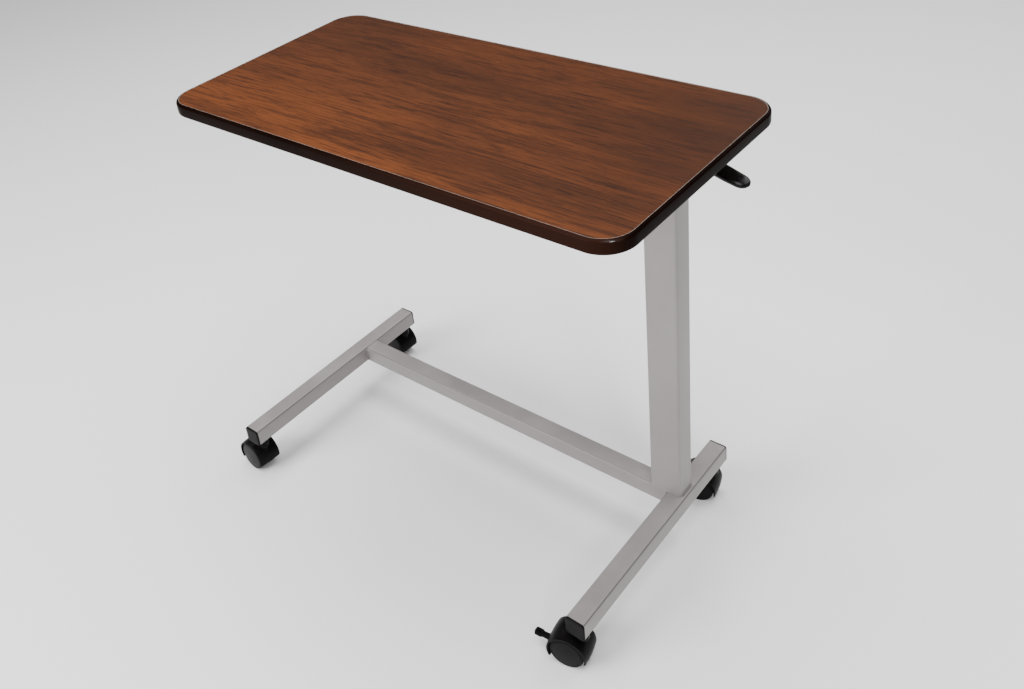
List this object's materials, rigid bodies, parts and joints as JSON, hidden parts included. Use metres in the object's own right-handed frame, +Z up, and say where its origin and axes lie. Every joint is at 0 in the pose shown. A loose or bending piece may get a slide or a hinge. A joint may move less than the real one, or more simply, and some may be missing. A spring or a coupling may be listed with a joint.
{
  "type": "overbed table",
  "caption": "Overbed table: rectangular wood-grain top held at one side by a telescopic mast on an H-shaped rolling base, with a release lever under the top.",
  "frame": {"origin": "on the floor, under the middle of the table's outline with the casters as they stand", "axes": "+X along the length of the top, towards the mast; +Y across the top, towards the side the crossbar and mast are set back to; +Z up"},
  "size_m": [0.811, 0.4154, 0.7113],
  "materials": {
    "frame_paint": "silver-grey powder coat, satin",
    "weld": "painted over with the frame",
    "bracket_paint": "silver-grey powder coat, satin",
    "cap_plastic": "black polyethylene, fine grain",
    "glide_nylon": "dark nylon",
    "plain_steel": "bare steel",
    "zinc_steel": "bright zinc plate",
    "cylinder_paint": "black enamel",
    "rod_chrome": "ground and plated",
    "piston_brass": "turned",
    "particle_board": "raw particle board",
    "walnut_laminate": "walnut-grain laminate, satin",
    "backing_paper": "plain brown backing sheet",
    "band_vinyl": "near-black brown vinyl, soft gloss",
    "lever_steel": "black enamel",
    "paddle_plastic": "black, soft gloss",
    "hood_plastic": "black nylon, fine grain",
    "wheel_nylon": "black nylon",
    "pedal_plastic": "black nylon"
  },
  "bodies": {
    "base": {"left_foot": "frame_paint", "right_foot": "frame_paint", "crossbar": "frame_paint", "weld_beads": "weld", "left_front_cap": "cap_plastic", "left_rear_cap": "cap_plastic", "right_front_cap": "cap_plastic", "right_rear_cap": "cap_plastic", "caster_sockets": "plain_steel", "lower_mast": "frame_paint", "foot_plate": "plain_steel", "mast_collar": "glide_nylon", "gas_cylinder": "cylinder_paint", "rod_guide": "glide_nylon"},
    "mast": {"upper_mast": "frame_paint", "mast_shoe": "glide_nylon", "rod_seat": "plain_steel", "rod_nut": "zinc_steel", "piston_rod": "rod_chrome", "piston": "piston_brass", "top_bracket": "bracket_paint", "front_rail": "bracket_paint", "rear_rail": "bracket_paint", "rail_screws": "zinc_steel", "lever_pivot": "zinc_steel", "top_core": "particle_board", "top_laminate": "walnut_laminate", "backing_sheet": "backing_paper", "edge_band": "band_vinyl"},
    "lever": {"release_lever": "lever_steel", "lever_paddle": "paddle_plastic"},
    "pin": {"release_pin": "zinc_steel"},
    "left_front_caster": {"left_front_stem": "zinc_steel", "left_front_hood": "hood_plastic", "left_front_axle": "zinc_steel"},
    "left_front_wheel_a": {"left_front_wheel_a": "wheel_nylon"},
    "left_front_wheel_b": {"left_front_wheel_b": "wheel_nylon"},
    "left_rear_caster": {"left_rear_stem": "zinc_steel", "left_rear_hood": "hood_plastic", "left_rear_axle": "zinc_steel"},
    "left_rear_wheel_a": {"left_rear_wheel_a": "wheel_nylon"},
    "left_rear_wheel_b": {"left_rear_wheel_b": "wheel_nylon"},
    "right_front_caster": {"right_front_stem": "zinc_steel", "right_front_hood": "hood_plastic", "right_front_axle": "zinc_steel", "right_front_pedal_pin": "zinc_steel"},
    "right_front_wheel_a": {"right_front_wheel_a": "wheel_nylon"},
    "right_front_wheel_b": {"right_front_wheel_b": "wheel_nylon"},
    "right_front_pedal": {"right_front_pedal": "pedal_plastic"},
    "right_rear_caster": {"right_rear_stem": "zinc_steel", "right_rear_hood": "hood_plastic", "right_rear_axle": "zinc_steel", "right_rear_pedal_pin": "zinc_steel"},
    "right_rear_wheel_a": {"right_rear_wheel_a": "wheel_nylon"},
    "right_rear_wheel_b": {"right_rear_wheel_b": "wheel_nylon"},
    "right_rear_pedal": {"right_rear_pedal": "pedal_plastic"}
  },
  "joints": [
    {"name": "mast_lift", "type": "slide", "parent": "base", "child": "mast", "axis": [0, 0, 1], "range_m": [0, 0.432]},
    {"name": "lever_lift", "type": "hinge", "parent": "mast", "child": "lever", "pos_m": [0.327, 0.084, 0.671], "axis": [0, -1, 0], "range_deg": [0, 5], "stiffness_Nm_per_rad": 12},
    {"name": "pin_press", "type": "slide", "parent": "mast", "child": "pin", "axis": [0, 0, -1], "range_m": [0, 0.0034]},
    {"name": "left_front_swivel", "type": "hinge", "parent": "base", "child": "left_front_caster", "pos_m": [-0.356, -0.181, 0.067], "axis": [0, 0, 1], "continuous": true},
    {"name": "left_front_roll_a", "type": "hinge", "parent": "left_front_caster", "child": "left_front_wheel_a", "pos_m": [-0.37495, -0.17968, 0.025], "axis": [0.0698, 0.9976, 0], "continuous": true},
    {"name": "left_front_roll_b", "type": "hinge", "parent": "left_front_caster", "child": "left_front_wheel_b", "pos_m": [-0.37495, -0.17968, 0.025], "axis": [0.0698, 0.9976, 0], "continuous": true},
    {"name": "left_rear_swivel", "type": "hinge", "parent": "base", "child": "left_rear_caster", "pos_m": [-0.356, 0.181, 0.067], "axis": [0, 0, 1], "continuous": true},
    {"name": "left_rear_roll_a", "type": "hinge", "parent": "left_rear_caster", "child": "left_rear_wheel_a", "pos_m": [-0.37495, 0.18232, 0.025], "axis": [0.0698, 0.9976, 0], "continuous": true},
    {"name": "left_rear_roll_b", "type": "hinge", "parent": "left_rear_caster", "child": "left_rear_wheel_b", "pos_m": [-0.37495, 0.18232, 0.025], "axis": [0.0698, 0.9976, 0], "continuous": true},
    {"name": "right_front_swivel", "type": "hinge", "parent": "base", "child": "right_front_caster", "pos_m": [0.306, -0.181, 0.067], "axis": [0, 0, 1], "continuous": true},
    {"name": "right_front_roll_a", "type": "hinge", "parent": "right_front_caster", "child": "right_front_wheel_a", "pos_m": [0.28741, -0.18495, 0.025], "axis": [-0.2079, 0.9781, 0], "continuous": true},
    {"name": "right_front_roll_b", "type": "hinge", "parent": "right_front_caster", "child": "right_front_wheel_b", "pos_m": [0.28741, -0.18495, 0.025], "axis": [-0.2079, 0.9781, 0], "continuous": true},
    {"name": "right_front_brake", "type": "hinge", "parent": "right_front_caster", "child": "right_front_pedal", "pos_m": [0.2581, -0.19118, 0.02132], "axis": [0.2079, -0.9781, 0], "range_deg": [0, 12]},
    {"name": "right_rear_swivel", "type": "hinge", "parent": "base", "child": "right_rear_caster", "pos_m": [0.306, 0.181, 0.067], "axis": [0, 0, 1], "continuous": true},
    {"name": "right_rear_roll_a", "type": "hinge", "parent": "right_rear_caster", "child": "right_rear_wheel_a", "pos_m": [0.28741, 0.17705, 0.025], "axis": [-0.2079, 0.9781, 0], "continuous": true},
    {"name": "right_rear_roll_b", "type": "hinge", "parent": "right_rear_caster", "child": "right_rear_wheel_b", "pos_m": [0.28741, 0.17705, 0.025], "axis": [-0.2079, 0.9781, 0], "continuous": true},
    {"name": "right_rear_brake", "type": "hinge", "parent": "right_rear_caster", "child": "right_rear_pedal", "pos_m": [0.2581, 0.17082, 0.02132], "axis": [0.2079, -0.9781, 0], "range_deg": [0, 12]}
  ],
  "couplings": [
    {"joint": "pin_press", "follows": "lever_lift", "m_per_rad": 0.038}
  ]
}
